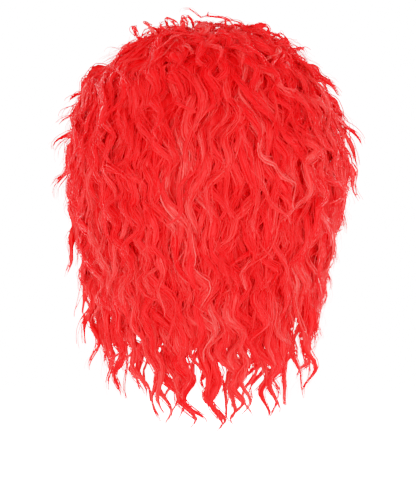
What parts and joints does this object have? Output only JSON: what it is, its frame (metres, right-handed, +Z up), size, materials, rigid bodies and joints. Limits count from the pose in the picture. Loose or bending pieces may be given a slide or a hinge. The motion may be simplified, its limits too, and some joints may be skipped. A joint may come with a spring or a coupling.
{
  "type": "curly wig",
  "caption": "Full shoulder-length wig of layered crimped locks in bright red, sewn in rows on a stretch cap that a head goes into.",
  "frame": {"origin": "inside of the cap's crown, where the top of the head touches it", "axes": "+Z up, the wearer's face towards -Y, the wearer's left towards +X"},
  "size_m": [0.3225, 0.2899, 0.4419],
  "materials": {
    "hair": "glossy synthetic fibre",
    "cap_cloth": "matt stretch mesh"
  },
  "bodies": {
    "root": {"cap": "cap_cloth", "crown_weft": "hair", "fringe_weft": "hair", "upper_weft": "hair", "left_side_weft": "hair", "right_side_weft": "hair", "middle_weft": "hair", "lower_weft": "hair", "nape_weft": "hair"}
  },
  "joints": []
}
